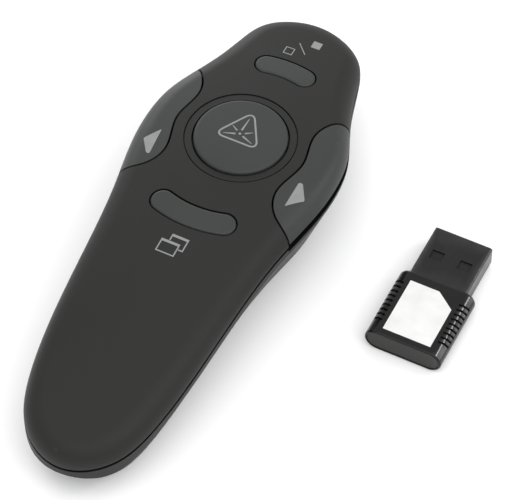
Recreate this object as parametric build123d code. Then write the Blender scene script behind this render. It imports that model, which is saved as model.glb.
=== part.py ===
from build123d import *
import math
import os

os.makedirs("parts", exist_ok=True)

# Wireless presentation clicker with its plug-in receiver lying beside it.
# Millimetres, +Z up, +Y towards the nose. The origin is on the resting plane,
# straight below the middle of the round laser button.

# body form
CROWN_Z = 22.5        # crown height over the laser button
ARCH_R = 280.0        # lengthwise arch of the crown
ARCH_Y = -1.3         # station where the arch peaks
CROWN_R = 188.0       # crosswise arch of the crown
CROWN_TURN = -20.0    # centres the arch on its peak
EDGE_R = 4.2          # rounding from the crown to the sides
RIM = 4.3             # parting line below the crown
LIP = 1.9             # upright lip of the lower shell
WALL = 1.6            # shell wall
FOOT_R = 3.0          # rounding round the resting face
SIDE_RAKE = 0.36      # inward slope of the hull at the sides
TAIL_RAKE = 0.50      # slope added towards the tail
NOSE_RAKE = -0.04     # slope added towards the nose
SEAM_GAP = 0.4        # shadow gap along the parting line
SEAM_DEEP = 0.8

# outline seen from above
NOSE_Y = 35.3
TAIL_Y = -73.6
TIP_HALF = 6.35       # nose half width, 1.5 behind the tip
BROW_HALF = 10.25
NECK_HALF = 13.15
SHOULDER_HALF = 15.6
KEYS_FRONT_HALF = 19.0
KEYS_HALF = 20.2
KEYS_REAR_HALF = 19.65
WAIST_HALF = 17.8
GRIP_HALF = 16.3
PALM_HALF = 15.1
HEEL_HALF = 12.95
TAIL_HALF = 9.1

# laser button and the land round it
BUTTON_R = 9.05
BUTTON_GAP = 0.35
LAND_R = 10.95
LAND_DEEP = 0.12
GROOVE_WIDE = 0.25    # fine line round the land
GROOVE_DEEP = 0.5
BUTTON_RISE = 0.45
BUTTON_WALL = 1.4
FLANGE_R = 10.0

# curved buttons, concentric with the laser button
FRONT_ARC_R = 19.53
FRONT_ARC_HALF = 11.8
FRONT_WIDE = 4.45
REAR_ARC_R = 20.67
REAR_ARC_HALF = 18.0
REAR_WIDE = 4.7
ARC_GAP = 0.28
ARC_RISE = 0.15

# side keys
KEY_GAP = 0.2         # each side of the key's edge line
KEY_FRONT = (15.0, 12.2)
KEY_LOBE = (12.3, 6.9)
KEY_NECK = (13.35, -0.4)
KEY_HEEL = (11.75, -8.9)
KEY_TURN = (13.5, -13.1)
KEY_TAIL = (16.7, -15.4)
KEY_OUT_FRONT = (20.5, 13.8)
KEY_OUT_REAR = (21.0, -16.2)
KEY_HEM = 0.9         # key's lower edge above the parting line
KEY_NOTCH = 1.0       # lower shell cut away below the key
SKIRT_IN = 2.6        # dark inner skirt behind the edge
SKIRT_THICK = 0.8
SKIRT_DROP = 1.5
PIVOT_Y = 9.7
PIVOT_Z = 18.0
PIVOT_R = 0.9
RUN = 0.05            # radial running clearance

# board and switches
BOARD_Z = 14.2
BOARD_T = 1.2
BOARD_INSET = 4.0
BOARD_FRONT = 27.0
BOARD_REAR = -26.0
SWITCH_SIZE = 4.2
SWITCH_H = 2.5
PLUNGER_R = 1.2
PLUNGER_TOP = 3.0     # above the board
KEY_SWITCH = (13.3, -9.0)

# cells, door and tray
CELL_R = 5.25
CELL_LONG = 43.7
NUB_R = 1.9
NUB_LONG = 0.8
CELL_X = 5.4
CELL_Z = 7.6
CELL_FRONT = -5.0
SPRING_ROOM = 3.4
CONTACT_T = 0.4
TRAY_WALL = 1.0
TRAY_TOP = 13.7
DOOR_HALF = 9.0
DOOR_FRONT = -2.0
DOOR_TOP = 3.4
DOOR_GAP = 0.15

# screws
SCREW_X = 6.3
SCREW_Y = 12.0
TAIL_SCREW_Y = -60.0
BOSS_R = 3.2
COVER_BOSS_R = 2.2
SCREW_R = 0.9
HEAD_R = 1.9
HEAD_H = 1.2
SCREW_LONG = 10.0
SEAT_Z = 8.0          # head seat of the two front screws

# laser
LASER_Z = 10.5
BARREL_R = 3.25
BARREL_FRONT = 31.0
BARREL_LONG = 13.0
WINDOW_R = 2.6

# power switch
POWER_Y = 22.0
POWER_TRAVEL = 2.4

# receiver
RX = 43.2
RY = -18.4
HOUSE_W = 15.8
HOUSE_T = 5.2
HOUSE_L = 16.5
HOUSE_WALL = 0.9
PLUG_W = 12.0
PLUG_T = 4.5
PLUG_L = 11.6
PLUG_ROOT = 3.0
PLUG_SHEET = 0.3
CAP_RIM = 0.45        # housing wall showing round the end panel
CAP_T = 1.3
GRIP_COUNT = 9        # grip notches along each long side
GRIP_PITCH = 1.2
GRIP_DEEP = 0.4
GRIP_START = 3.65
LABEL_W = 9.8
LABEL_L = 12.5


def crown_height(x, y):
    return CROWN_Z - (y - ARCH_Y) ** 2 / (2 * ARCH_R) - x ** 2 / (2 * CROWN_R)


def crown(drop=0.0):
    """Barrel-shaped solid: its top is the crown, lowered by drop."""
    top = CROWN_Z - drop
    half = 30.0
    sag = CROWN_R - math.sqrt(CROWN_R ** 2 - half ** 2)
    edge = ThreePointArc((-half, 0, top - sag), (0, 0, top), (half, 0, top - sag))
    rest = Polyline((half, 0, top - sag), (half, 0, top - 45), (-half, 0, top - 45), (-half, 0, top - sag))
    face = make_face(edge + rest)
    axis = Axis((0, 0, top - ARCH_R), (1, 0, 0))
    barrel = revolve(face, axis, revolution_arc=40).rotate(axis, CROWN_TURN)
    return Pos(0, ARCH_Y, 0) * barrel


def loop(points, start):
    """Closed smooth curve through points, begun on a nearly straight flank."""
    return Spline(*(points[start:] + points[:start]), periodic=True)


RING_COUNT = 40


def ring_samples():
    """Evenly spaced outline stations with their outward directions."""
    right = [
        (TIP_HALF, NOSE_Y - 1.5), (BROW_HALF, NOSE_Y - 4.3),
        (NECK_HALF, NOSE_Y - 11.3), (SHOULDER_HALF, NOSE_Y - 19.3),
        (KEYS_FRONT_HALF, 8.0), (KEYS_HALF, 0.0), (KEYS_REAR_HALF, -8.0), (WAIST_HALF, -18.0),
        (GRIP_HALF, -30.0), (PALM_HALF, -45.0), (HEEL_HALF, TAIL_Y + 13.6), (TAIL_HALF, TAIL_Y + 4.6),
    ]
    left = [(-x, y) for x, y in reversed(right)]
    base = Spline((0, NOSE_Y), *right, (0, TAIL_Y), *left, periodic=True)
    out = []
    for i in range(RING_COUNT):
        a, b = base.position_at(i / RING_COUNT), base.position_at(1 - i / RING_COUNT)
        c, d = base.tangent_at(i / RING_COUNT), base.tangent_at(1 - i / RING_COUNT)
        tx, ty = (c.X + d.X) / 2, (c.Y - d.Y) / 2
        size = math.hypot(tx, ty)
        out.append(((a.X - b.X) / 2, (a.Y + b.Y) / 2, -ty / size, tx / size))
    return out


RING = ring_samples()
FLANK = RING_COUNT // 4


def ring_face(inset, z=0.0):
    """Outline drawn in by inset at height z."""
    return make_face(loop([(x - nx * inset, y - ny * inset, z) for x, y, nx, ny in RING], FLANK))


def rake(ny):
    tail = max(0.0, -ny) ** 2
    nose = max(0.0, ny) ** 2
    return SIDE_RAKE + TAIL_RAKE * tail + NOSE_RAKE * nose


def hull_points(side, z):
    """Stations of the raked hull at height z, drawn in by side."""
    pts = []
    for x, y, nx, ny in RING:
        slope = rake(ny)
        lip = crown_height(x, y) - RIM - LIP
        out = slope * (z - lip) - side * math.sqrt(1 + slope ** 2)
        pts.append((x + nx * out, y + ny * out, z))
    return pts


def hull_face(side, z):
    return make_face(loop(hull_points(side, z), FLANK))


def hull_core(side):
    """Flat-sided room inside the hull, for trimming what stands in it."""
    faces = [make_face(Polyline(*hull_points(side, z), close=True)) for z in (side, 28.0)]
    return loft(faces, ruled=True)


def form(side):
    """Whole body form drawn in by side all round."""
    body = extrude(ring_face(side, side), 32)
    body = body & loft([hull_face(side, side), hull_face(side, 28.0)], ruled=True) & crown(side)
    body = body.solids().sort_by(SortBy.VOLUME)[-1]
    lid = body.faces().sort_by(Axis.Z)[-1]
    body = fillet(lid.outer_wire().edges(), EDGE_R - side)
    foot = body.faces().sort_by(Axis.Z)[0]
    return fillet(foot.outer_wire().edges(), FOOT_R - side * 0.5)


def box(x0, x1, y0, y1, z0, z1):
    return Pos((x0 + x1) / 2, (y0 + y1) / 2, (z0 + z1) / 2) * Box(x1 - x0, y1 - y0, z1 - z0)


def rod(x, y, z0, z1, r):
    return Pos(x, y, (z0 + z1) / 2) * Cylinder(r, z1 - z0)


def rod_y(x, z, y0, y1, r):
    return Pos(x, (y0 + y1) / 2, z) * Rot(90, 0, 0) * Cylinder(r, y1 - y0)


def rod_x(x0, x1, y, z, r):
    return Pos((x0 + x1) / 2, y, z) * Rot(0, 90, 0) * Cylinder(r, x1 - x0)


def arc_slot(radius, middle, half, wide, z0, z1):
    arc = CenterArc((0, 0), radius, middle - half, 2 * half)
    return extrude(Pos(0, 0, z0) * SlotArc(arc, wide), z1 - z0)


def key_face(shift):
    """Plan of the right key: shift > 0 draws the key in, < 0 opens the cut-out."""
    base = Spline(KEY_OUT_FRONT, KEY_FRONT, KEY_LOBE, KEY_NECK, KEY_HEEL, KEY_TURN, KEY_TAIL, KEY_OUT_REAR)
    pts = []
    for i in range(25):
        p = base.position_at(i / 24)
        d = base.tangent_at(i / 24)
        pts.append((p.X - d.Y * shift, p.Y + d.X * shift))
    edge = Spline(*pts)
    a, b = pts[0], pts[-1]
    return make_face(edge + Polyline(b, (32.0, b[1]), (32.0, a[1]), a))


def both(solid):
    return [solid, mirror(solid, about=Plane.YZ)]


def one(shape):
    solids = shape.solids()
    return solids.sort_by(SortBy.VOLUME)[-1]


def save(shape, name):
    export_step(shape, "parts/" + name + ".step")
    print(name, len(shape.solids()), round(shape.volume, 1))


outer = form(0.0)
inner = form(WALL)
shell = outer - inner
below_seam = crown(RIM)
print("forms", round(outer.volume), round(inner.volume))

# ------------------------------------------------------------------ top cover
cover = one(shell - below_seam)
outside = box(-40, 40, -90, 50, 0, 35) - extrude(ring_face(SEAM_DEEP, -1), 40)
cover = cover - (outside & crown(RIM - SEAM_GAP))
cover = cover - (rod(0, 0, 15, 30, LAND_R) - crown(LAND_DEEP))
cover = cover - (rod(0, 0, 15, 30, LAND_R) - rod(0, 0, 14, 31, LAND_R - GROOVE_WIDE) - crown(GROOVE_DEEP))
cover = cover - rod(0, 0, 15, 30, BUTTON_R + BUTTON_GAP)
cover = cover - arc_slot(FRONT_ARC_R, 90, FRONT_ARC_HALF, FRONT_WIDE + 2 * ARC_GAP, 15, 30)
cover = cover - arc_slot(REAR_ARC_R, 270, REAR_ARC_HALF, REAR_WIDE + 2 * ARC_GAP, 15, 30)
key_hole = extrude(Pos(0, 0, 5) * key_face(-KEY_GAP), 30)
for tool in both(key_hole):
    cover = cover - tool
roof = crown(0.8)
for tool in both(rod(SCREW_X, SCREW_Y, BOARD_Z + BOARD_T, 30, COVER_BOSS_R)):
    cover = cover + (tool & roof)
cover = cover + (rod(0, TAIL_SCREW_Y, 9.8, 30, COVER_BOSS_R) & roof)
cover = cover + (rod(0, -14.0, BOARD_Z + BOARD_T, 30, 1.6) & roof)
for tool in both(box(10.4, 11.4, PIVOT_Y - 1.5, PIVOT_Y + 1.3, PIVOT_Z - 1.6, 30)):
    cover = cover + (tool & roof)
for tool in both(rod_x(9.0, 12.0, PIVOT_Y, PIVOT_Z, PIVOT_R + RUN)):
    cover = cover - tool
for tool in both(rod(SCREW_X, SCREW_Y, 10, 19.6, SCREW_R + RUN)):
    cover = cover - tool
cover = cover - rod(0, TAIL_SCREW_Y, 9.0, 14.4, SCREW_R + RUN)
cover = one(cover)
save(cover, "top_cover")

# ---------------------------------------------------------------- lower shell
CELL_REAR = CELL_FRONT - NUB_LONG - CELL_LONG - SPRING_ROOM
lower = one(shell & below_seam)
hull_room = hull_core(WALL / 2)
under = crown(RIM + 0.6)
tray = box(-14, 14, CELL_REAR - CONTACT_T - TRAY_WALL, CELL_FRONT + CONTACT_T + TRAY_WALL,
           DOOR_TOP + 0.3, TRAY_TOP)
tray_hollow = box(-10.9, 10.9, CELL_REAR, CELL_FRONT, 0, CELL_Z)
for x in (-CELL_X, CELL_X):
    tray_hollow = tray_hollow + rod_y(x, CELL_Z, CELL_REAR, CELL_FRONT, CELL_R + 0.2)
tray_hollow = tray_hollow + box(-8.4, 8.4, CELL_FRONT - 1, CELL_FRONT + CONTACT_T, 0, 11.4)
for x in (-CELL_X, CELL_X):
    tray_hollow = tray_hollow + box(x - 3.0, x + 3.0, CELL_REAR - CONTACT_T, CELL_REAR + 1, 0, 11.4)
tray = (tray - tray_hollow) & hull_room & under
lower = lower + tray
ledge = box(-14, 14, TAIL_Y + 4.0, CELL_REAR - CONTACT_T - 0.5, DOOR_TOP + 0.3, 5.2) & hull_room & under
lower = lower + ledge
lower = lower + (rod(0, TAIL_SCREW_Y, DOOR_TOP + 0.3, 9.8, BOSS_R) & under)
for tool in both(rod(SCREW_X, SCREW_Y, 0.5, BOARD_Z, BOSS_R)):
    lower = lower + (tool & hull_room)
lower = lower + box(-4.0, 4.0, -17.0, -11.0, TRAY_TOP - 0.5, BOARD_Z)
for tool in both(rod(SCREW_X, SCREW_Y, -1, SEAT_Z, HEAD_R + 0.3)):
    lower = lower - tool
for tool in both(rod(SCREW_X, SCREW_Y, -1, 20, SCREW_R + 0.2)):
    lower = lower - tool
lower = lower - rod(0, TAIL_SCREW_Y, 3, 5.6, HEAD_R + 0.3)
lower = lower - rod(0, TAIL_SCREW_Y, 3, 12, SCREW_R + 0.2)
# everything inside this box belongs to the sliding door
lower = lower - box(-DOOR_HALF - DOOR_GAP, DOOR_HALF + DOOR_GAP, TAIL_Y - 5, DOOR_FRONT + DOOR_GAP,
                    -1, DOOR_TOP + DOOR_GAP)
# clearance notches under the side keys
notch = extrude(Pos(0, 0, 5) * key_face(-KEY_GAP), 30) - crown(RIM + KEY_NOTCH)
for tool in both(notch):
    lower = lower - tool
# power switch slot in a shallow finger recess
lower = lower - box(-4.6, 4.6, POWER_Y - 2.6, POWER_Y + 2.6, -1, 0.9)
lower = lower - box(-3.0, 3.0, POWER_Y - 1.2, POWER_Y + 1.2, -1, 3)
# laser aperture in the nose, with a cradle under the barrel
lower = lower - rod_y(0, LASER_Z, 30, 40, WINDOW_R - 0.6)
lower = lower - rod_y(0, LASER_Z, NOSE_Y - 2.4, 40, WINDOW_R + 0.1)
cradle = box(-9.5, 9.5, 20.6, 22.8, 5.6, 8.6) + box(-4.4, 4.4, 27.4, 29.4, 1.0, LASER_Z)
cradle = (cradle - rod_y(0, LASER_Z, 15, 33, BARREL_R)) & hull_room
lower = lower + cradle
lower = one(lower)
save(lower, "lower_shell")

# --------------------------------------------------------------- battery door
door = shell & box(-DOOR_HALF, DOOR_HALF, TAIL_Y - 5, DOOR_FRONT, -1, DOOR_TOP)
for i in range(6):
    door = door - box(-5.0, 5.0, DOOR_FRONT - 5.4 - 1.6 * i, DOOR_FRONT - 4.6 - 1.6 * i, -1, 0.45)
door = one(door)
save(door, "battery_door")


# -------------------------------------------------------------------- buttons
def pressed(slab, rise, wall, soft):
    """Cap cut from an upright prism, its top following the crown."""
    cap = one((slab & crown(-rise)) - crown(wall - rise))
    lid = cap.faces().sort_by(Axis.Z)[-1]
    return fillet(lid.outer_wire().edges(), soft)


STEM_Z = BOARD_Z + BOARD_T + PLUNGER_TOP
laser_cap = pressed(rod(0, 0, 10, 30, BUTTON_R), BUTTON_RISE, BUTTON_WALL + BUTTON_RISE, 0.6)
bore = rod(0, 0, 18, 22, BUTTON_R - 1.5)
guide = rod(0, 0, 19.3, 21.6, BUTTON_R - 0.4) - bore
flange = rod(0, 0, 19.5, 20.3, FLANGE_R) - bore
stem = rod(0, 0, STEM_Z, 21.6, 2.0)
ribs = box(-BUTTON_R + 1.0, BUTTON_R - 1.0, -0.5, 0.5, 20.0, 21.6)
ribs = ribs + box(-0.5, 0.5, -BUTTON_R + 1.0, BUTTON_R - 1.0, 20.0, 21.6)
save(one(laser_cap + guide + flange + stem + ribs), "laser_button")


def curved_button(radius, middle, half, wide):
    cap = pressed(arc_slot(radius, middle, half, wide, 10, 30), ARC_RISE, BUTTON_WALL + ARC_RISE, 0.45)
    y = radius * math.sin(math.radians(middle))
    roof_z = crown_height(0, y) - WALL
    hollow = arc_slot(radius, middle, half, wide - 2.2, roof_z - 2, roof_z + 0.3)
    guide = arc_slot(radius, middle, half, wide - 0.4, roof_z - 1.4, roof_z + 0.8)
    flange = arc_slot(radius, middle, half, wide + 1.2, roof_z - 1.4, roof_z - 0.7)
    stem = rod(0, y, STEM_Z, roof_z + 0.9, 1.6)
    return one((guide + flange - hollow) + cap + stem)


save(curved_button(FRONT_ARC_R, 90, FRONT_ARC_HALF, FRONT_WIDE), "front_button")
save(curved_button(REAR_ARC_R, 270, REAR_ARC_HALF, REAR_WIDE), "rear_button")

# ------------------------------------------------------------------ side keys
key_slab = extrude(Pos(0, 0, 5) * key_face(KEY_GAP), 30)
patch = (shell & key_slab) - crown(RIM - KEY_HEM)
under_key = crown(1.0)
skirt = extrude(ring_face(SKIRT_IN, 10), 20) - extrude(ring_face(SKIRT_IN + SKIRT_THICK, 5), 30)
skirt = skirt & extrude(Pos(0, 0, 5) * key_face(KEY_GAP + 0.6), 30) & box(5, 30, -16.0, 6.0, 0, 40)
skirt = (skirt & under_key) - crown(RIM + SKIRT_DROP)
lug = box(14.0, 15.4, PIVOT_Y - 1.1, PIVOT_Y + 1.1, PIVOT_Z - 1.1, 25) & under_key
kx, ky = KEY_SWITCH
key = one(patch) + skirt + lug + rod_x(10.1, 14.2, PIVOT_Y, PIVOT_Z, PIVOT_R)
key = key + (rod(kx, ky, STEM_Z, 25, 1.0) & under_key)
keys = both(one(key))
save(keys[0], "right_key")
save(keys[1], "left_key")

# ---------------------------------------------------------- board and switches
board = extrude(ring_face(BOARD_INSET, BOARD_Z), BOARD_T)
board = board & box(-30, 30, BOARD_REAR, BOARD_FRONT, 0, 40)
for tool in both(rod(SCREW_X, SCREW_Y, 0, 30, SCREW_R + 0.2)):
    board = board - tool
save(board, "main_board")

TOP = BOARD_Z + BOARD_T
places = [(0, 0), (0, FRONT_ARC_R), (0, -REAR_ARC_R), KEY_SWITCH, (-kx, ky)]
names = ["laser", "front", "rear", "right", "left"]
housings = []
half = SWITCH_SIZE / 2
for (x, y), name in zip(places, names):
    housing = box(x - half, x + half, y - half, y + half, TOP, TOP + SWITCH_H)
    housing = chamfer(housing.edges().filter_by(Axis.Z), 0.4)
    housings.append(housing - rod(x, y, TOP + 0.3, TOP + 5, PLUNGER_R + RUN))
    save(rod(x, y, TOP + 1.2, TOP + PLUNGER_TOP, PLUNGER_R), name + "_switch_plunger")
save(Compound(housings), "switch_bodies")

chip = box(4.2, 9.2, -8.0, -3.0, TOP, TOP + 0.9)
chip = chamfer(chip.faces().sort_by(Axis.Z)[-1].edges(), 0.2)
save(chip, "radio_chip")
can = extrude(Pos(-7.0, -5.5, TOP) * SlotOverall(5.0, 2.2), 1.1)
save(can, "crystal_can")

# ---------------------------------------------------------------- laser module
BARREL_REAR = BARREL_FRONT - BARREL_LONG
barrel = rod_y(0, LASER_Z, BARREL_REAR, BARREL_FRONT, BARREL_R)
barrel = chamfer(barrel.edges().filter_by(GeomType.CIRCLE), 0.3)
barrel = barrel - rod_y(0, LASER_Z, 10, 40, BARREL_R - 0.9)
save(barrel, "laser_barrel")
lens = rod_y(0, LASER_Z, BARREL_FRONT - 3.0, BARREL_FRONT - 1.2, BARREL_R - 0.9)
save(lens & (Pos(0, BARREL_FRONT - 4.0, LASER_Z) * Sphere(2.8)), "laser_lens")
diode = rod_y(0, LASER_Z, BARREL_REAR + 1.0, BARREL_REAR + 2.0, BARREL_R - 0.9)
diode = diode + rod_y(0, LASER_Z, BARREL_REAR + 2.0, BARREL_REAR + 4.4, 1.65)
for dx in (-0.8, 0.8):
    diode = diode + rod_y(dx, LASER_Z, BARREL_REAR - 2.0, BARREL_REAR + 1.2, 0.22)
save(diode, "laser_diode")
window = rod_y(0, LASER_Z, NOSE_Y - 2.4, NOSE_Y - 1.6, WINDOW_R)
save(window, "laser_window")

# ---------------------------------------------------------------- power switch
power = box(-4.4, 4.4, POWER_Y - 1.9, POWER_Y + 1.9, WALL, 5.1)
power = power - box(-2.9, 2.9, POWER_Y - 1.0, POWER_Y + 1.0, WALL - 0.5, 3.4)
save(power, "power_switch_body")
knob = box(-3.8, -0.2, POWER_Y - 2.2, POWER_Y + 2.2, 0.1, 0.75)
for i in range(3):
    knob = knob - box(-3.1 + 0.9 * i, -2.7 + 0.9 * i, POWER_Y - 3, POWER_Y + 3, 0, 0.3)
knob = knob + box(-2.7, -0.9, POWER_Y - 0.8, POWER_Y + 0.8, 0.6, 3.0)
save(knob, "power_switch_knob")


# ------------------------------------------------------------- cells, contacts
def cell(x, can_y0, nub_y0):
    body = rod_y(x, CELL_Z, can_y0, can_y0 + CELL_LONG, CELL_R)
    body = fillet(body.edges().filter_by(GeomType.CIRCLE), 0.5)
    return body + rod_y(x, CELL_Z, nub_y0 - 0.05, nub_y0 + NUB_LONG + 0.05, NUB_R)


save(cell(CELL_X, CELL_FRONT - NUB_LONG - CELL_LONG, CELL_FRONT - NUB_LONG - 0.05), "right_cell")
save(cell(-CELL_X, CELL_REAR + NUB_LONG, CELL_REAR + 0.05), "left_cell")

COIL_LONG = SPRING_ROOM - 0.6


def coil():
    path = Helix(pitch=COIL_LONG / 3.0, height=COIL_LONG, radius=2.6)
    start = Plane(origin=path @ 0, z_dir=path % 0)
    return sweep(start * Circle(0.25), path=path)


low, high = CELL_Z - 3.6, CELL_Z + 3.4
bridge = box(-8.2, 8.2, CELL_FRONT, CELL_FRONT + CONTACT_T, low, high)
bridge = bridge - box(-2.2, 2.2, CELL_FRONT - 1, CELL_FRONT + 1, CELL_Z - 0.4, high + 1)
turn_back = Pos(-CELL_X, CELL_FRONT + 0.1, CELL_Z) * Rot(90, 0, 0) * coil()
save(bridge + turn_back, "bridge_contact")
flat = box(-CELL_X - 2.9, -CELL_X + 2.9, CELL_REAR - CONTACT_T, CELL_REAR, low, high)
save(flat, "flat_contact")
sprung = box(CELL_X - 2.9, CELL_X + 2.9, CELL_REAR - CONTACT_T, CELL_REAR, low, high)
sprung = sprung + Pos(CELL_X, CELL_REAR - 0.1, CELL_Z) * Rot(-90, 0, 0) * coil()
save(sprung, "spring_contact")


# --------------------------------------------------------------------- screws
def screw(x, y, seat, length):
    head = rod(x, y, seat - HEAD_H, seat, HEAD_R)
    head = fillet(head.edges().sort_by(Axis.Z)[0], 0.4)
    head = head - box(x - 1.1, x + 1.1, y - 0.2, y + 0.2, seat - HEAD_H - 1, seat - HEAD_H + 0.6)
    head = head - box(x - 0.2, x + 0.2, y - 1.1, y + 1.1, seat - HEAD_H - 1, seat - HEAD_H + 0.6)
    shank = rod(x, y, seat - 0.1, seat + length, SCREW_R)
    return head + chamfer(shank.edges().sort_by(Axis.Z)[-1], 0.4)


screws = [screw(x, SCREW_Y, SEAT_Z, SCREW_LONG) for x in (-SCREW_X, SCREW_X)]
screws.append(screw(0, TAIL_SCREW_Y, 5.6, 8.0))
save(Compound(screws), "case_screws")

# ------------------------------------------------------------------- receiver
RZ = HOUSE_T / 2


def racetrack(wide, thick, y0, y1, z=RZ):
    plan = Plane.XZ.offset(-y0) * Pos(RX, z) * SlotOverall(wide, thick)
    return extrude(plan, -(y1 - y0))


NOSE = RY + HOUSE_L
housing = racetrack(HOUSE_W, HOUSE_T, RY, NOSE)
lid = housing.faces().sort_by(Axis.Y)
housing = fillet(lid[-1].edges(), 0.8)
housing = fillet(housing.faces().sort_by(Axis.Y)[0].edges(), 0.35)
hollow = racetrack(HOUSE_W - 2 * HOUSE_WALL, HOUSE_T - 2 * HOUSE_WALL, RY - 1, NOSE - 1.4)
housing = housing - hollow
housing = housing - racetrack(HOUSE_W - 2 * CAP_RIM, HOUSE_T - 2 * CAP_RIM, RY - 1, RY + 0.1 + CAP_T)
PLUG_REAR = NOSE - PLUG_ROOT
TIP = NOSE + PLUG_L
sheet = box(RX - PLUG_W / 2, RX + PLUG_W / 2, PLUG_REAR, TIP, RZ - PLUG_T / 2, RZ + PLUG_T / 2)
sheet = fillet(sheet.edges().filter_by(Axis.Y), 0.45)
housing = housing - sheet
skin = racetrack(HOUSE_W + 2, HOUSE_T + 2, RY, NOSE)
skin = skin - racetrack(HOUSE_W - 2 * GRIP_DEEP, HOUSE_T - 2 * GRIP_DEEP, RY - 1, NOSE + 1)
for side in (-1, 1):
    for i in range(GRIP_COUNT):
        slab = Pos(RX + side * (HOUSE_W / 2 - 0.9), RY + GRIP_START + GRIP_PITCH * i, HOUSE_T - 0.4)
        slab = slab * Rot(0, 0, side * 20) * Box(2.6, 0.5, 2.6)
        housing = housing - (slab & skin)
housing = one(housing)
save(housing, "receiver_housing")

cap = racetrack(HOUSE_W - 2 * CAP_RIM, HOUSE_T - 2 * CAP_RIM, RY + 0.1, RY + 0.1 + CAP_T)
cap = fillet(cap.faces().sort_by(Axis.Y)[0].edges(), 0.2)
save(cap, "receiver_end_cap")

room = box(RX - PLUG_W / 2 + PLUG_SHEET, RX + PLUG_W / 2 - PLUG_SHEET, PLUG_REAR - 1, TIP + 1,
           RZ - PLUG_T / 2 + PLUG_SHEET, RZ + PLUG_T / 2 - PLUG_SHEET)
sheet = sheet - fillet(room.edges().filter_by(Axis.Y), 0.2)
for dx in (-2.9, 2.9):
    sheet = sheet - box(RX + dx - 1.25, RX + dx + 1.25, TIP - 7.3, TIP - 5.2, -1, 7)
save(sheet, "plug_shell")
tongue = box(RX - PLUG_W / 2 + 0.6, RX + PLUG_W / 2 - 0.6, PLUG_REAR, TIP - 0.5,
             RZ + 0.1, RZ + PLUG_T / 2 - PLUG_SHEET)
tongue = chamfer(tongue.faces().sort_by(Axis.Y)[-1].edges(), 0.3)
save(tongue, "plug_tongue")
strips = []
for dx in (-3.5, -1.0, 1.0, 3.5):
    strips.append(box(RX + dx - 0.5, RX + dx + 0.5, PLUG_REAR + 1.0, TIP - 1.4, RZ - 0.05, RZ + 0.1))
save(Compound(strips), "plug_contacts")
save(box(RX - 6.2, RX + 6.2, RY + 1.8, PLUG_REAR - 0.4, RZ - 0.7, RZ + 0.1), "receiver_board")
save(box(RX - 2.0, RX + 2.0, RY + 4.5, RY + 8.5, RZ + 0.1, RZ + 0.9), "receiver_chip")

label = Rectangle(LABEL_W, LABEL_L)
corner = Polyline((LABEL_W / 2 + 1, LABEL_L / 2 - 3.7), (LABEL_W / 2, LABEL_L / 2 - 2.9),
                  (LABEL_W / 2 - 3.8, LABEL_L / 2), (LABEL_W / 2 - 3.8, LABEL_L / 2 + 1),
                  (LABEL_W / 2 + 1, LABEL_L / 2 + 1), close=True)
label = Pos(RX + 0.1, RY + 7.7, HOUSE_T) * (label - make_face(corner))
save(extrude(label, 0.1), "receiver_label")
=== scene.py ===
import math
import bpy
import bmesh
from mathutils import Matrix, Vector


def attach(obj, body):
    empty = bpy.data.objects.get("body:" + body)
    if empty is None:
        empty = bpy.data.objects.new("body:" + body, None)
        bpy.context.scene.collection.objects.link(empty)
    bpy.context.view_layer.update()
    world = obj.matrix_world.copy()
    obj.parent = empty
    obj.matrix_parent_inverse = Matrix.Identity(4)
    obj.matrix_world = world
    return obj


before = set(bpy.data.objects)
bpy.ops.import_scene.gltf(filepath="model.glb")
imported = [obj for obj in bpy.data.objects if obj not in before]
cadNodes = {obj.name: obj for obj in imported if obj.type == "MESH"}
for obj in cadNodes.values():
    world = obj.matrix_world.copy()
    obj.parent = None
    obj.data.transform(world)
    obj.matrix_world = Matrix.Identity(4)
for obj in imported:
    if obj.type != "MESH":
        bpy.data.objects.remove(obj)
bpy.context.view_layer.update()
mm = 0.001
touching = 1e-6  # points nearer than this count as one
print("frame loaded:", len(cadNodes), "nodes")


# small modelling helpers
def nothingSelected():
    if bpy.context.object and bpy.context.object.mode != "OBJECT":
        bpy.ops.object.mode_set(mode="OBJECT")
    bpy.ops.object.select_all(action="DESELECT")


def onlyThis(piece):
    nothingSelected()
    piece.select_set(True)
    bpy.context.view_layer.objects.active = piece


def finishModifiers(piece):
    onlyThis(piece)
    for modifier in list(piece.modifiers):
        bpy.ops.object.modifier_apply(modifier=modifier.name)


def settle(piece):
    # place, turn and size go into the mesh
    onlyThis(piece)
    bpy.ops.object.transform_apply(location=True, rotation=True, scale=True)


def joined(pieces, name):
    nothingSelected()
    for piece in pieces:
        piece.select_set(True)
    bpy.context.view_layer.objects.active = pieces[0]
    if len(pieces) > 1:
        bpy.ops.object.join()
    piece = bpy.context.object
    piece.name = name
    piece.data.name = name
    return piece


def selectWhere(piece, test, kind="FACE"):
    # edit mode: picks the faces or edges whose middle passes the test
    bpy.ops.mesh.select_mode(type=kind)
    bpy.ops.mesh.select_all(action="DESELECT")
    shape = bmesh.from_edit_mesh(piece.data)
    for part in (shape.faces if kind == "FACE" else shape.edges):
        middle = sum((v.co for v in part.verts), Vector()) / len(part.verts)
        part.select_set(bool(test(middle)))
    bmesh.update_edit_mesh(piece.data)


# camera: angles in degrees, lens and sensor in millimetres
cameraLook = {"target": (7.389 * mm, -7.412 * mm, 0.0), "distance": 581.9 * mm, "down": 52.786,
              "turn": 26.615, "lens": 209.35, "sensor": 36.0, "nearest": 0.01, "farthest": 20.0}


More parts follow.
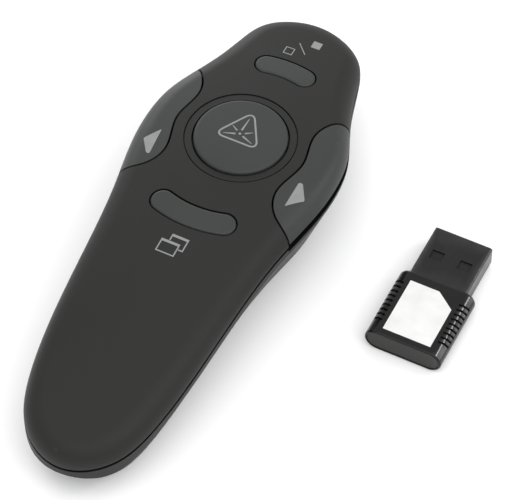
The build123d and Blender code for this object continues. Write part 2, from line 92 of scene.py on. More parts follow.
def makeCamera(look):
    down, turn = math.radians(look["down"]), math.radians(look["turn"])
    reach = look["distance"] * math.cos(down)
    away = Vector((reach * math.sin(turn), -reach * math.cos(turn), look["distance"] * math.sin(down)))
    bpy.ops.object.camera_add(location=Vector(look["target"]) + away,
                              rotation=(math.pi / 2 - down, 0, turn))
    camera = bpy.context.object
    camera.name = "studioCamera"
    camera.data.sensor_fit = "HORIZONTAL"
    camera.data.sensor_width = look["sensor"]
    camera.data.lens = look["lens"]
    camera.data.clip_start = look["nearest"]
    camera.data.clip_end = look["farthest"]
    bpy.context.scene.camera = camera


nothingSelected()
makeCamera(cameraLook)
print("camera set")


# node helpers
def feed(links, socket, value):
    # another node's output is linked in, a plain value is set on the socket itself
    if hasattr(value, "is_linked"):
        links.new(value, socket)
    else:
        socket.default_value = value


def makeNode(nodes, links, kind, **inputs):
    node = nodes.new(kind)
    for label, value in inputs.items():
        feed(links, node.inputs[label.replace("_", " ")], value)
    return node


def placeGroup(nodes, group, **values):
    node = nodes.new("ShaderNodeGroup")
    node.node_tree = group
    for label, value in values.items():
        node.inputs[label.replace("_", " ")].default_value = value
    return node


def mathOf(nodes, links, operation, first, second=None):
    node = nodes.new("ShaderNodeMath")
    node.operation = operation
    feed(links, node.inputs[0], first)
    if second is not None:
        feed(links, node.inputs[1], second)
    return node.outputs[0]


def colourMix(nodes, links, mask, low, high):
    mix = nodes.new("ShaderNodeMix")
    mix.data_type = "RGBA"
    feed(links, mix.inputs[6], low if hasattr(low, "is_linked") else (*low, 1))
    feed(links, mix.inputs[7], (*high, 1))
    feed(links, mix.inputs[0], mask)
    return mix.outputs[2]


def roughBetween(nodes, links, surface, mask, low, high):
    rough = makeNode(nodes, links, "ShaderNodeMapRange", Value=mask, To_Min=low, To_Max=high)
    links.new(rough.outputs["Result"], surface.inputs["Roughness"])


def bumpFrom(nodes, links, surface, height, strength, depth, sunken=False):
    bump = makeNode(nodes, links, "ShaderNodeBump", Height=height, Strength=strength, Distance=depth)
    bump.invert = sunken
    links.new(bump.outputs["Normal"], surface.inputs["Normal"])


# shader node groups
def newGroup(name, inputs, outputs):
    group = bpy.data.node_groups.new(name, "ShaderNodeTree")
    for label, value in inputs:
        socket = group.interface.new_socket(name=label, in_out="INPUT", socket_type="NodeSocketFloat")
        socket.default_value = value
    for label in outputs:
        group.interface.new_socket(name=label, in_out="OUTPUT", socket_type="NodeSocketFloat")
    return group, group.nodes.new("NodeGroupInput"), group.nodes.new("NodeGroupOutput")


grainLook = {"size": 2600.0, "pitShare": 0.5, "detail": 3.0, "roughness": 0.62, "pitScale": 0.7,
             "pitSoftness": 0.6}


def makeMouldGrain(look):
    # fine spark-eroded grain, mixed with slightly wider, soft pits
    group, start, end = newGroup(
        "mouldGrain", [("Grain Size", look["size"]), ("Pit Share", look["pitShare"])], ["Height"])
    nodes, links = group.nodes, group.links
    place = nodes.new("ShaderNodeTexCoord")
    fine = makeNode(nodes, links, "ShaderNodeTexNoise", Vector=place.outputs["Object"],
                    Scale=start.outputs["Grain Size"], Detail=look["detail"], Roughness=look["roughness"])
    pits = nodes.new("ShaderNodeTexVoronoi")
    pits.feature = "SMOOTH_F1"
    feed(links, pits.inputs["Vector"], place.outputs["Object"])
    feed(links, pits.inputs["Scale"],
         mathOf(nodes, links, "MULTIPLY", start.outputs["Grain Size"], look["pitScale"]))
    feed(links, pits.inputs["Smoothness"], look["pitSoftness"])
    mix = nodes.new("ShaderNodeMix")
    links.new(start.outputs["Pit Share"], mix.inputs[0])
    links.new(fine.outputs["Fac"], mix.inputs[2])
    links.new(pits.outputs["Distance"], mix.inputs[3])
    links.new(mix.outputs[0], end.inputs["Height"])
    return group


handlingLook = {"patchSize": 38.0, "contrast": 1.0, "detail": 4.0, "distortion": 0.35,
                "patchFrom": 0.35, "patchTo": 0.65, "dustPlace": (0.31, 0.17, 0.05), "dustSize": 900.0,
                "dustDetail": 2.0, "dustFrom": 0.66, "dustTo": 0.80}


def makeHandling(look):
    # broad, faint polish and dust left by use, from two soft noises
    group, start, end = newGroup(
        "handling", [("Patch Size", look["patchSize"]), ("Contrast", look["contrast"])], ["Patch", "Dust"])
    nodes, links = group.nodes, group.links
    place = nodes.new("ShaderNodeTexCoord")
    broad = makeNode(nodes, links, "ShaderNodeTexNoise", Vector=place.outputs["Object"],
                     Scale=start.outputs["Patch Size"], Detail=look["detail"],
                     Distortion=look["distortion"])
    spread = makeNode(nodes, links, "ShaderNodeMapRange", Value=broad.outputs["Fac"],
                      From_Min=look["patchFrom"], From_Max=look["patchTo"])
    strength = mathOf(nodes, links, "MULTIPLY", spread.outputs["Result"], start.outputs["Contrast"])
    links.new(strength, end.inputs["Patch"])
    shift = makeNode(nodes, links, "ShaderNodeMapping", Vector=place.outputs["Object"],
                     Location=look["dustPlace"])
    specks = makeNode(nodes, links, "ShaderNodeTexNoise", Vector=shift.outputs["Vector"],
                      Scale=look["dustSize"], Detail=look["dustDetail"])
    sift = makeNode(nodes, links, "ShaderNodeMapRange", Value=specks.outputs["Fac"],
                    From_Min=look["dustFrom"], From_Max=look["dustTo"])
    links.new(sift.outputs["Result"], end.inputs["Dust"])
    return group


edgeWearAndGlintLook = {"reach": 0.56, "full": 0.64, "patchiness": 320.0, "detail": 3.0}


def makeEdgeWearAndGlint(look):
    # convex edges, broken up by noise: worn edges on most parts, a painted glint on the receiver's notch
    # and shoulder edges
    group, start, end = newGroup(
        "edgeWearAndGlint", [("Reach", look["reach"]), ("Patchiness", look["patchiness"])], ["Mask"])
    nodes, links = group.nodes, group.links
    shape = nodes.new("ShaderNodeNewGeometry")
    place = nodes.new("ShaderNodeTexCoord")
    breakUp = makeNode(nodes, links, "ShaderNodeTexNoise", Vector=place.outputs["Object"],
                       Scale=start.outputs["Patchiness"], Detail=look["detail"])
    sharp = makeNode(nodes, links, "ShaderNodeMapRange", Value=shape.outputs["Pointiness"],
                     From_Min=start.outputs["Reach"], From_Max=look["full"])
    keep = mathOf(nodes, links, "MULTIPLY", sharp.outputs["Result"], breakUp.outputs["Fac"])
    links.new(keep, end.inputs["Mask"])
    return group


mouldGrain = makeMouldGrain(grainLook)
handling = makeHandling(handlingLook)
edgeWearAndGlint = makeEdgeWearAndGlint(edgeWearAndGlintLook)
print("shader groups made")


# materials
def startMaterial(name):
    material = bpy.data.materials.new(name)
    material.use_nodes = True
    tree = material.node_tree
    return material, tree.nodes, tree.links, tree.nodes["Principled BSDF"]


# what every moulded plastic has unless its own settings say otherwise
plasticUsual = {"patch": 38.0, "reach": 0.56, "roughSpread": 0.05, "bumpDepth": 0.05 * mm, "specular": 0.4}


def mouldedPlastic(name, ownLook):
    look = {**plasticUsual, **ownLook}
    material, nodes, links, surface = startMaterial(name)
    grain = placeGroup(nodes, mouldGrain, Grain_Size=look["grain"], Pit_Share=look["pits"])
    used = placeGroup(nodes, handling, Patch_Size=look["patch"])
    wearAndGlint = placeGroup(nodes, edgeWearAndGlint, Reach=look["reach"])
    colour = colourMix(nodes, links, used.outputs["Patch"], look["dark"], look["light"])
    colour = colourMix(nodes, links, wearAndGlint.outputs["Mask"], colour, look["wornAndGlint"])
    links.new(colour, surface.inputs["Base Color"])
    roughBetween(nodes, links, surface, used.outputs["Patch"],
                 look["rough"] - look["roughSpread"], look["rough"] + look["roughSpread"])
    bumpFrom(nodes, links, surface, grain.outputs["Height"], look["bump"], look["bumpDepth"])
    surface.inputs["Specular IOR Level"].default_value = look["specular"]
    return material


softTouch = mouldedPlastic("softTouch", {
    "dark": (0.0097, 0.0100, 0.0092), "light": (0.0117, 0.0120, 0.0111), "wornAndGlint": (0.024, 0.024, 0.024),
    "grain": 3400.0, "pits": 0.35, "rough": 0.54, "bump": 0.25, "reach": 0.60, "specular": 0.26})
lowerPlastic = mouldedPlastic("lowerPlastic", {
    "dark": (0.0108, 0.0114, 0.0114), "light": (0.0142, 0.0150, 0.0150), "wornAndGlint": (0.030, 0.030, 0.030),
    "grain": 2400.0, "pits": 0.55, "rough": 0.5, "bump": 0.4, "specular": 0.28})
keyPlastic = mouldedPlastic("keyPlastic", {
    "dark": (0.0256, 0.0275, 0.0272), "light": (0.0292, 0.0313, 0.0309), "wornAndGlint": (0.046, 0.047, 0.047),
    "grain": 3800.0, "pits": 0.3, "rough": 0.48, "bump": 0.2, "reach": 0.60, "specular": 0.3})
# the receiver's pale edge tone is a painted glint on its notch and shoulder edges, many times lighter than
# its near-black plastic
receiverPlastic = mouldedPlastic("receiverPlastic", {
    "dark": (0.0042, 0.0042, 0.0042), "light": (0.0060, 0.0060, 0.0060), "wornAndGlint": (0.16, 0.16, 0.16),
    "grain": 3200.0, "pits": 0.4, "rough": 0.14, "roughSpread": 0.03, "bump": 0.10, "reach": 0.53,
    "specular": 0.26})
capPlastic = mouldedPlastic("capPlastic", {
    "dark": (0.0225, 0.0225, 0.0215), "light": (0.027, 0.027, 0.026), "wornAndGlint": (0.06, 0.06, 0.06),
    "grain": 3000.0, "pits": 0.4, "rough": 0.5, "bump": 0.3, "specular": 0.28})
hiddenPlastic = mouldedPlastic("hiddenPlastic", {
    "dark": (0.012, 0.012, 0.012), "light": (0.018, 0.018, 0.018), "wornAndGlint": (0.05, 0.05, 0.05),
    "grain": 2400.0, "pits": 0.4, "rough": 0.45, "bump": 0.2})
tongueBlack = mouldedPlastic("tongueBlack", {
    "dark": (0.007, 0.007, 0.007), "light": (0.010, 0.010, 0.010), "wornAndGlint": (0.02, 0.02, 0.02),
    "grain": 2400.0, "pits": 0.4, "rough": 0.5, "bump": 0.2, "specular": 0.12})
creamPlastic = mouldedPlastic("creamPlastic", {
    "dark": (0.48, 0.45, 0.38), "light": (0.55, 0.52, 0.45), "wornAndGlint": (0.65, 0.62, 0.55),
    "grain": 2600.0, "pits": 0.3, "rough": 0.45, "bump": 0.2})
# a reach past the wear's full value turns it round: the worn tone runs through the whole sticker
stickerWhite = mouldedPlastic("stickerWhite", {
    "dark": (0.76, 0.76, 0.755), "light": (0.775, 0.775, 0.77), "wornAndGlint": (0.40, 0.40, 0.39),
    "grain": 1800.0, "pits": 0.1, "rough": 0.42, "bump": 0.1, "reach": 0.7})
markInk = mouldedPlastic("markInk", {
    "dark": (0.195, 0.200, 0.200), "light": (0.215, 0.221, 0.221), "wornAndGlint": (0.18, 0.186, 0.186),
    "grain": 2600.0, "pits": 0.3, "rough": 0.55, "bump": 0.15, "patch": 700.0})

# what every metal has
metalUsual = {"detail": 4.0, "patch": 120.0, "reach": 0.56, "smoother": 0.06, "rougher": 0.08, "bump": 0.2,
              "bumpDepth": 0.02 * mm}


def metal(name, ownLook):
    look = {**metalUsual, **ownLook}
    material, nodes, links, surface = startMaterial(name)
    surface.inputs["Metallic"].default_value = 1.0
    place = nodes.new("ShaderNodeTexCoord")
    stretch = makeNode(nodes, links, "ShaderNodeMapping", Vector=place.outputs["Object"],
                       Scale=look["brush"])
    lines = makeNode(nodes, links, "ShaderNodeTexNoise", Vector=stretch.outputs["Vector"], Scale=1.0,
                     Detail=look["detail"])
    used = placeGroup(nodes, handling, Patch_Size=look["patch"])
    wearAndGlint = placeGroup(nodes, edgeWearAndGlint, Reach=look["reach"])
    colour = colourMix(nodes, links, lines.outputs["Fac"], look["dark"], look["light"])
    colour = colourMix(nodes, links, wearAndGlint.outputs["Mask"], colour, look["wornAndGlint"])
    links.new(colour, surface.inputs["Base Color"])
    roughBetween(nodes, links, surface, used.outputs["Patch"],
                 look["rough"] - look["smoother"], look["rough"] + look["rougher"])
    bumpFrom(nodes, links, surface, lines.outputs["Fac"], look["bump"], look["bumpDepth"])
    return material


plugMetal = metal("plugMetal", {
    "dark": (0.030, 0.030, 0.031), "light": (0.040, 0.040, 0.041), "wornAndGlint": (0.12, 0.12, 0.12),
    "brush": (3000.0, 60.0, 3000.0), "rough": 0.34})
contactSteel = metal("contactSteel", {
    "dark": (0.50, 0.50, 0.50), "light": (0.62, 0.62, 0.61), "wornAndGlint": (0.7, 0.7, 0.7),
    "brush": (200.0, 2500.0, 2500.0), "rough": 0.3})
contactGold = metal("contactGold", {
    "dark": (0.62, 0.42, 0.15), "light": (0.76, 0.55, 0.24), "wornAndGlint": (0.5, 0.4, 0.3),
    "brush": (2500.0, 80.0, 2500.0), "rough": 0.28})
turnedBrass = metal("turnedBrass", {
    "dark": (0.52, 0.36, 0.13), "light": (0.66, 0.48, 0.20), "wornAndGlint": (0.7, 0.6, 0.4),
    "brush": (60.0, 3500.0, 60.0), "rough": 0.3})
screwSteel = metal("screwSteel", {
    "dark": (0.10, 0.10, 0.11), "light": (0.17, 0.17, 0.18), "wornAndGlint": (0.45, 0.45, 0.45),
    "brush": (1500.0, 1500.0, 1500.0), "rough": 0.38})

# painted shade for the gaps: colours and finish of the dark skin laid where only shade falls
gapShadeLook = {"shadeTone": (0.003, 0.003, 0.003), "dust": (0.012, 0.012, 0.012), "patch": 200.0, "rough": 0.9,
            "specular": 0.05}


def makePaintedGapShade(look):
    # painted shade: a near-black matt skin for the unlit depth of a gap, with only a breath of dust
    material, nodes, links, surface = startMaterial("paintedGapShade")
    used = placeGroup(nodes, handling, Patch_Size=look["patch"])
    links.new(colourMix(nodes, links, used.outputs["Dust"], look["shadeTone"], look["dust"]),
              surface.inputs["Base Color"])
    surface.inputs["Roughness"].default_value = look["rough"]
    surface.inputs["Specular IOR Level"].default_value = look["specular"]
    return material


# copper runs are laid out like bricks: their size is a share of the pattern's scale
boardLook = {"mask": (0.006, 0.050, 0.020), "over": (0.012, 0.085, 0.034), "edge": (0.16, 0.14, 0.07),
             "runScale": 150.0, "runShift": 0.37, "runGap": 0.06, "runSoftness": 0.2, "runLength": 1.3,
             "runWidth": 0.21, "patch": 60.0, "contrast": 0.5, "cutBelow": 0.5, "smooth": 0.46,
             "rough": 0.58, "specular": 0.15, "bump": 0.4, "bumpDepth": 0.03 * mm}


def makeBoardGreen(look):
    # solder resist: copper runs show through it as lighter lines, bare glass cloth at the cut edge
    material, nodes, links, surface = startMaterial("boardGreen")
    place = nodes.new("ShaderNodeTexCoord")
    runs = makeNode(nodes, links, "ShaderNodeTexBrick", Vector=place.outputs["Object"],
                    Scale=look["runScale"], Mortar_Size=look["runGap"], Mortar_Smooth=look["runSoftness"],
                    Brick_Width=look["runLength"], Row_Height=look["runWidth"])
    runs.offset = look["runShift"]
    used = placeGroup(nodes, handling, Patch_Size=look["patch"], Contrast=look["contrast"])
    colour = colourMix(nodes, links, runs.outputs["Fac"], look["over"], look["mask"])
    shape = nodes.new("ShaderNodeNewGeometry")
    facing = makeNode(nodes, links, "ShaderNodeSeparateXYZ", Vector=shape.outputs["Normal"])
    upright = mathOf(nodes, links, "ABSOLUTE", facing.outputs["Z"])
    cut = mathOf(nodes, links, "LESS_THAN", upright, look["cutBelow"])
    links.new(colourMix(nodes, links, cut, colour, look["edge"]), surface.inputs["Base Color"])
    roughBetween(nodes, links, surface, used.outputs["Patch"], look["smooth"], look["rough"])
    surface.inputs["Specular IOR Level"].default_value = look["specular"]
    bumpFrom(nodes, links, surface, runs.outputs["Fac"], look["bump"], look["bumpDepth"], sunken=True)
    return material


cellLook = {"wrap": (0.016, 0.018, 0.024), "band": (0.33, 0.13, 0.035), "steel": (0.55, 0.55, 0.54),
            "middle": 29 * mm, "bandAt": 13 * mm, "patch": 90.0, "reach": 0.60, "endFrom": 0.8,
            "smooth": 0.18, "rough": 0.32}


def makeCellWrap(look):
    # dark shrink wrap with a copper band, bare steel on the ends; the two cells lie opposite ways round
    material, nodes, links, surface = startMaterial("cellWrap")
    place = nodes.new("ShaderNodeTexCoord")
    along = makeNode(nodes, links, "ShaderNodeSeparateXYZ", Vector=place.outputs["Object"])
    fromMiddle = mathOf(nodes, links, "ADD", along.outputs["Y"], look["middle"])
    side = mathOf(nodes, links, "SIGN", along.outputs["X"])
    turned = mathOf(nodes, links, "MULTIPLY", fromMiddle, side)
    band = mathOf(nodes, links, "GREATER_THAN", turned, look["bandAt"])
    used = placeGroup(nodes, handling, Patch_Size=look["patch"])
    wearAndGlint = placeGroup(nodes, edgeWearAndGlint, Reach=look["reach"])
    colour = colourMix(nodes, links, band, look["wrap"], look["band"])
    shape = nodes.new("ShaderNodeNewGeometry")
    facing = makeNode(nodes, links, "ShaderNodeSeparateXYZ", Vector=shape.outputs["Normal"])
    endOn = mathOf(nodes, links, "ABSOLUTE", facing.outputs["Y"])
    bare = mathOf(nodes, links, "GREATER_THAN", endOn, look["endFrom"])
    links.new(bare, surface.inputs["Metallic"])
    colour = colourMix(nodes, links, bare, colour, look["steel"])
    colour = colourMix(nodes, links, wearAndGlint.outputs["Mask"], colour, look["steel"])
    links.new(colour, surface.inputs["Base Color"])
    roughBetween(nodes, links, surface, used.outputs["Patch"], look["smooth"], look["rough"])
    return material


# what every see-through moulding has
clearUsual = {"patch": 260.0, "polish": 0.03, "ior": 1.49}


def clearPlastic(name, ownLook):
    # see-through moulding, faintly smudged
    look = {**clearUsual, **ownLook}
    material, nodes, links, surface = startMaterial(name)
    used = placeGroup(nodes, handling, Patch_Size=look["patch"])
    links.new(colourMix(nodes, links, used.outputs["Patch"], look["tint"], look["smudge"]),
              surface.inputs["Base Color"])
    roughBetween(nodes, links, surface, used.outputs["Patch"], look["polish"], look["haze"])
    surface.inputs["Transmission Weight"].default_value = look["clear"]
    surface.inputs["IOR"].default_value = look["ior"]
    return material


paintedGapShade = makePaintedGapShade(gapShadeLook)
boardGreen = makeBoardGreen(boardLook)
cellWrap = makeCellWrap(cellLook)
lensClear = clearPlastic("lensClear", {
    "tint": (0.90, 0.93, 0.95), "smudge": (0.85, 0.88, 0.90), "haze": 0.08, "clear": 1.0})
smokedWindow = clearPlastic("smokedWindow", {
    "tint": (0.055, 0.003, 0.003), "smudge": (0.045, 0.004, 0.004), "haze": 0.10, "clear": 0.6})

wearsIt = {
    softTouch: ["top_cover"],
    lowerPlastic: ["lower_shell", "battery_door"],
    keyPlastic: ["laser_button", "front_button", "rear_button", "left_key", "right_key",
                 "power_switch_knob"],
    receiverPlastic: ["receiver_housing"],
    capPlastic: ["receiver_end_cap"],
    hiddenPlastic: ["switch_bodies", "radio_chip", "power_switch_body", "receiver_chip"],
    tongueBlack: ["plug_tongue"],
    creamPlastic: ["laser_switch_plunger", "front_switch_plunger", "rear_switch_plunger",
                   "left_switch_plunger", "right_switch_plunger"],
    stickerWhite: ["receiver_label"],
    plugMetal: ["plug_shell"],
    contactSteel: ["bridge_contact", "flat_contact", "spring_contact", "crystal_can", "laser_diode"],
    contactGold: ["plug_contacts"],
    turnedBrass: ["laser_barrel"],
    screwSteel: ["case_screws"],
    boardGreen: ["main_board", "receiver_board"],
    cellWrap: ["left_cell", "right_cell"],
    lensClear: ["laser_lens"],
    smokedWindow: ["laser_window"],
}
leftOver = set(cadNodes) - {name for names in wearsIt.values() for name in names}
assert not leftOver, leftOver

for material, names in wearsIt.items():
    for name in names:
        for holder in cadNodes[name].material_slots:
            holder.material = material
print("materials on the carried-over parts")

# printed marks: each mark's own numbers are in millimetres, as seen from above
printLook = {"startHeight": 30 * mm, "lift": 0.03 * mm, "ink": 0.05 * mm, "tipRounding": 0.3, "tipSteps": 2}


def flatPolygon(corners, rounding=0.0, steps=1):
    # a filled circle primitive with one vertex a corner: each goes to its place, then they are rounded
    bpy.ops.mesh.primitive_circle_add(vertices=len(corners), radius=mm, fill_type="NGON",
                                      location=(0, 0, printLook["startHeight"]))
    piece = bpy.context.object
    settle(piece)
    order = sorted(piece.data.vertices, key=lambda v: math.atan2(v.co.y, v.co.x))
    middle = Vector((sum(c[0] for c in corners), sum(c[1] for c in corners))) / len(corners)
    wanted = sorted(corners, key=lambda c: math.atan2(c[1] - middle.y, c[0] - middle.x))
    for vertex, corner in zip(order, wanted):
        vertex.co.x, vertex.co.y = corner[0] * mm, corner[1] * mm
    bpy.ops.object.mode_set(mode="EDIT")
    bpy.ops.mesh.select_all(action="SELECT")
    if rounding:
        bpy.ops.mesh.bevel(offset=rounding * mm, offset_type="ABSOLUTE", segments=steps, affect="VERTICES")
    bpy.ops.object.mode_set(mode="OBJECT")
    return piece


def squareCorners(middle, side, lean=0.0):
    half = side / 2
    corners = []
    for a, b in ((-half, -half), (half, -half), (half, half), (-half, half)):
        corners.append((middle[0] + a - b * lean, middle[1] + b + a * lean))
    return corners


def hollowed(piece, stroke):
    # insets the face by the stroke and takes the middle out
    onlyThis(piece)
    bpy.ops.object.mode_set(mode="EDIT")
    bpy.ops.mesh.select_mode(type="FACE")
    bpy.ops.mesh.select_all(action="SELECT")
    bpy.ops.mesh.inset(thickness=stroke * mm)
    bpy.ops.mesh.delete(type="FACE")
    bpy.ops.object.mode_set(mode="OBJECT")
    return piece


def wedge(start, end, wide, narrow):
    ax, ay = start
    bx, by = end
    long = math.hypot(bx - ax, by - ay)
    nx, ny = -(by - ay) / long / 2, (bx - ax) / long / 2
    corners = [(ax + nx * wide, ay + ny * wide), (ax - nx * wide, ay - ny * wide),
               (bx - nx * narrow, by - ny * narrow), (bx + nx * narrow, by + ny * narrow)]
    return flatPolygon(corners, printLook["tipRounding"] * narrow, printLook["tipSteps"])


def printedOn(pieces, name, carrier, body, cuts):
    # lays the flat mark on its carrier's surface and gives the ink its thickness
    mark = joined(pieces, name)
    onlyThis(mark)
    bpy.ops.object.mode_set(mode="EDIT")
    bpy.ops.mesh.select_all(action="SELECT")
    bpy.ops.mesh.quads_convert_to_tris()
    bpy.ops.mesh.subdivide(number_cuts=cuts)
    bpy.ops.object.mode_set(mode="OBJECT")
    wrap = mark.modifiers.new("wrap", "SHRINKWRAP")
    wrap.wrap_method = "PROJECT"
    wrap.use_project_z = True
    wrap.use_negative_direction = True
    wrap.use_positive_direction = False
    wrap.target = cadNodes[carrier]
    wrap.offset = printLook["lift"]
    ink = mark.modifiers.new("ink", "SOLIDIFY")
    ink.thickness = printLook["ink"]
    ink.offset = -1.0
    finishModifiers(mark)
    mark.data.materials.clear()
    mark.data.materials.append(markInk)
    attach(mark, body)


# a round-cornered triangle, and in it a hub with five rays: start, end, width at the hub, width at the tip
laserMark = {"middle": (-0.23, 0.95), "side": 9.1, "rounding": 2.2, "roundSteps": 7, "stroke": 0.36,
             "out": 0.2, "hub": (-0.30, 0.26), "hubWide": 0.5, "hubRounding": 0.5, "hubSteps": 3, "cuts": 3,
             "rays": [((-0.37, 1.17), (-0.29, 4.32), 0.42, 0.14), ((0.53, 0.68), (1.88, 1.58), 0.36, 0.12),
                      ((0.44, -0.08), (2.79, -0.98), 0.42, 0.12),
                      ((-1.07, -0.10), (-3.33, -0.90), 0.42, 0.12),
                      ((-1.12, 0.74), (-2.48, 1.56), 0.36, 0.12)]}


def makeLaserMark(mark):
    nothingSelected()
    radius = mark["side"] / math.sqrt(3) + 2 * mark["out"]
    x, y = mark["middle"]
    thirds = (0, math.tau / 3, 2 * math.tau / 3)
    corners = [(x + radius * math.sin(a), y + radius * math.cos(a)) for a in thirds]
    parts = [hollowed(flatPolygon(corners, mark["rounding"], mark["roundSteps"]), mark["stroke"])]
    nothingSelected()
    parts.append(flatPolygon(squareCorners(mark["hub"], mark["hubWide"]),
                             mark["hubRounding"] * mark["hubWide"] / 2, mark["hubSteps"]))
    for start, end, wide, narrow in mark["rays"]:
        nothingSelected()
        parts.append(wedge(start, end, wide, narrow))
    printedOn(parts, "laserMark", "laser_button", "laser_press", mark["cuts"])


makeLaserMark(laserMark)

# an open and a filled square with a stroke between them
noseMark = {"openMiddle": (-1.78, 24.40), "openSide": 1.9, "stroke": 0.19, "fullMiddle": (2.34, 28.32),
            "fullSide": 1.85, "lean": 0.03, "slash": ((-0.89, 27.3), (1.41, 24.87)), "slashWide": 0.19,
            "cuts": 3}


def makeNoseMark(mark):
    nothingSelected()
    openSquare = flatPolygon(squareCorners(mark["openMiddle"], mark["openSide"], mark["lean"]))
    parts = [hollowed(openSquare, mark["stroke"])]
    nothingSelected()
    parts.append(flatPolygon(squareCorners(mark["fullMiddle"], mark["fullSide"], mark["lean"])))
    nothingSelected()
    start, end = mark["slash"]
    parts.append(wedge(start, end, mark["slashWide"], mark["slashWide"]))
    printedOn(parts, "noseMark", "top_cover", "handset", mark["cuts"])


makeNoseMark(noseMark)

# two window frames, each as left, low, right and high side, with a broader bar along the top
windowMark = {"front": (-2.60, -30.15, 1.27, -27.25), "back": (-1.17, -28.55, 2.35, -25.65),
              "stroke": 0.26, "bar": 0.26, "gap": 0.12, "cuts": 3}


def makeWindowMark(mark):
    parts = []
    for key in ("front", "back"):
        nothingSelected()
        x0, y0, x1, y1 = mark[key]
        pane = hollowed(flatPolygon([(x0, y0), (x1, y0), (x1, y1), (x0, y1)]), mark["stroke"])
        inner = (y1 - mark["stroke"]) * mm
        bpy.ops.object.mode_set(mode="EDIT")
        selectWhere(pane, lambda m: abs(m.y - inner) < touching, "EDGE")
        bpy.ops.transform.translate(value=(0, -mark["bar"] * mm, 0))
        bpy.ops.object.mode_set(mode="OBJECT")
        parts.append(pane)
    # the back window stops short of the front one
    endX, endY = [(edge + mark["gap"]) * mm for edge in mark["front"][2:]]
    onlyThis(parts[1])
    bpy.ops.object.mode_set(mode="EDIT")
    for point, normal in (((endX, 0, 0), (1, 0, 0)), ((0, endY, 0), (0, 1, 0))):
        bpy.ops.mesh.select_all(action="SELECT")
        bpy.ops.mesh.bisect(plane_co=point, plane_no=normal)
    selectWhere(parts[1], lambda m: m.x < endX and m.y < endY)
    bpy.ops.mesh.delete(type="FACE")
    bpy.ops.object.mode_set(mode="OBJECT")
    printedOn(parts, "windowMark", "top_cover", "handset", mark["cuts"])


makeWindowMark(windowMark)

# the arrow on each side key, by its corners
keyMark = {"right": [(14.62, -4.65), (15.35, -4.50), (17.35, -7.80), (14.60, -10.80)],
           "left": [(-14.5, -4.6), (-16.75, -7.90), (-14.55, -11.0), (-13.9, -10.9)],
           "rounding": 0.3, "roundSteps": 4, "cuts": 4}


def makeKeyMarks(mark):
    for side in ("right", "left"):
        nothingSelected()
        arrow = flatPolygon(mark[side], mark["rounding"], mark["roundSteps"])
        printedOn([arrow], side + "KeyMark", side + "_key", side + "_press", mark["cuts"])


makeKeyMarks(keyMark)
print("printed marks made")

# painted shade in the gaps: a matt black skin laid on what lies deep in a gap
# in millimetres, depths below the crown; the two Upright values say how far a face may look up
crownLook = {"top": 22.5 * mm, "back": 1.3 * mm, "alongCurve": 560 * mm, "acrossCurve": 376 * mm}
gapLook = {"seam": 4.3, "lipShow": 0.35, "notch": 5.3, "notchSlack": 0.2, "keyHem": 3.4, "keyDeepest": 7,
           "slack": 0.05, "lipUpright": 0.6, "keyUpright": 0.8, "skin": 0.03}


def crownAt(x, y):
    # height of the crown over the floor: it peaks a little behind the origin and falls off every way
    return (crownLook["top"] - (y + crownLook["back"]) ** 2 / crownLook["alongCurve"]
            - x ** 2 / crownLook["acrossCurve"])


def makeGapShadeSkin(name, carrier, body, cuts, keeps):
    # copies the carrier and lays the crown flat, to cut at even depths
    onlyThis(cadNodes[carrier])
    bpy.ops.object.duplicate()
    skin = bpy.context.object
    skin.name = name
    skin.data.name = name
    for vertex in skin.data.vertices:
        vertex.co.z -= crownAt(vertex.co.x, vertex.co.y)
    bpy.ops.object.mode_set(mode="EDIT")
    bpy.ops.mesh.select_all(action="SELECT")
    bpy.ops.mesh.remove_doubles(threshold=touching)
    for depth in cuts:
        bpy.ops.mesh.select_all(action="SELECT")
        bpy.ops.mesh.bisect(plane_co=(0, 0, -depth * mm), plane_no=(0, 0, 1))
    bpy.ops.object.mode_set(mode="OBJECT")
    # keeps what the test picks, and bends it back
    shape = bmesh.new()
    shape.from_mesh(skin.data)
    shape.normal_update()
    loose = [face for face in shape.faces if not keeps(face.calc_center_median() / mm, face.normal)]
    bmesh.ops.delete(shape, geom=loose, context="FACES")
    shape.to_mesh(skin.data)
    shape.free()
    for vertex in skin.data.vertices:
        vertex.co.z += crownAt(vertex.co.x, vertex.co.y)
    thicken = skin.modifiers.new("thicken", "SOLIDIFY")
    thicken.thickness = gapLook["skin"] * mm
    thicken.offset = 1.0
    finishModifiers(skin)
    skin.data.materials.clear()
    skin.data.materials.append(paintedGapShade)
    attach(skin, body)


def inLip(middle, normal):
    down = -middle.z
    # upward faces deep in the notch get the painted shade too, side faces only in a narrow band below the
    # seam
    if normal.z > gapLook["lipUpright"]:
        return down < gapLook["notch"] + gapLook["notchSlack"]
    onLip = gapLook["seam"] - gapLook["slack"] < down < gapLook["seam"] + gapLook["lipShow"]
    return onLip and abs(normal.z) < gapLook["lipUpright"]


def inKeyGap(middle, normal):
    # faces of the key below its hem get the painted shade
    below = gapLook["keyHem"] - gapLook["slack"] < -middle.z < gapLook["keyDeepest"]
    return below and normal.z < gapLook["keyUpright"]


makeGapShadeSkin("seamPaintedShade", "lower_shell", "handset", [gapLook["seam"] + gapLook["lipShow"]], inLip)
for side in ("right", "left"):
    makeGapShadeSkin(side + "KeyGapPaintedShade", side + "_key", side + "_press", [], inKeyGap)
print("gap darks made")

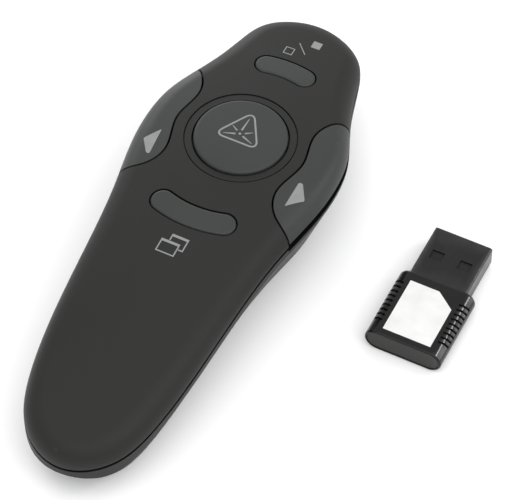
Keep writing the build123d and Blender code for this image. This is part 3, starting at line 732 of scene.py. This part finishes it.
# floor and light: sizes in metres, power in watts
floorLook = {"size": 3.0, "drop": 0.05 * mm, "colour": (0.93, 0.93, 0.93), "faint": (0.90, 0.90, 0.90),
             "patch": 6.0, "rough": 0.9}


def makeFloor(look):
    nothingSelected()
    bpy.ops.mesh.primitive_plane_add(size=look["size"], location=(0, 0, -look["drop"]))
    floor = bpy.context.object
    floor.name = "studioFloor"
    settle(floor)
    material, nodes, links, surface = startMaterial("studioPaper")
    used = placeGroup(nodes, handling, Patch_Size=look["patch"])
    links.new(colourMix(nodes, links, used.outputs["Patch"], look["faint"], look["colour"]),
              surface.inputs["Base Color"])
    surface.inputs["Roughness"].default_value = look["rough"]
    floor.data.materials.append(material)


studioLights = {
    "overhead": {"place": (0.25, -0.35, 1.00), "aim": (0, 0, 0), "size": (1.4, 1.4), "power": 7.5},
    "farLeft": {"place": (-0.70, 0.85, 0.30), "aim": (0, 0, 0.01), "size": (0.7, 0.5), "power": 3.6},
    "nearRight": {"place": (0.75, -0.05, 0.65), "aim": (0, 0, 0.01), "size": (0.6, 0.6), "power": 0.9},
    "sparkRight": {"place": (0.695, 0.535, 0.53), "aim": (0.045, -0.005, 0.004), "size": (0.12, 0.12),
                   "power": 1.1},
}


def softbox(name, look):
    nothingSelected()
    away = Vector(look["aim"]) - Vector(look["place"])
    bpy.ops.object.light_add(type="AREA", location=look["place"],
                             rotation=away.to_track_quat("-Z", "Y").to_euler())
    lamp = bpy.context.object
    lamp.name = name
    lamp.data.shape = "RECTANGLE"
    lamp.data.size, lamp.data.size_y = look["size"]
    lamp.data.energy = look["power"]


airLook = {"colour": (1, 1, 1, 1), "strength": 0.92}


def makeAir(look):
    world = bpy.data.worlds.new("studioAir")
    bpy.context.scene.world = world
    world.use_nodes = True
    sky = world.node_tree.nodes["Background"]
    sky.inputs["Color"].default_value = look["colour"]
    sky.inputs["Strength"].default_value = look["strength"]


makeFloor(floorLook)
for name, look in studioLights.items():
    softbox(name, look)
makeAir(airLook)
bpy.context.scene.view_settings.view_transform = "Standard"
print("floor and lights set")
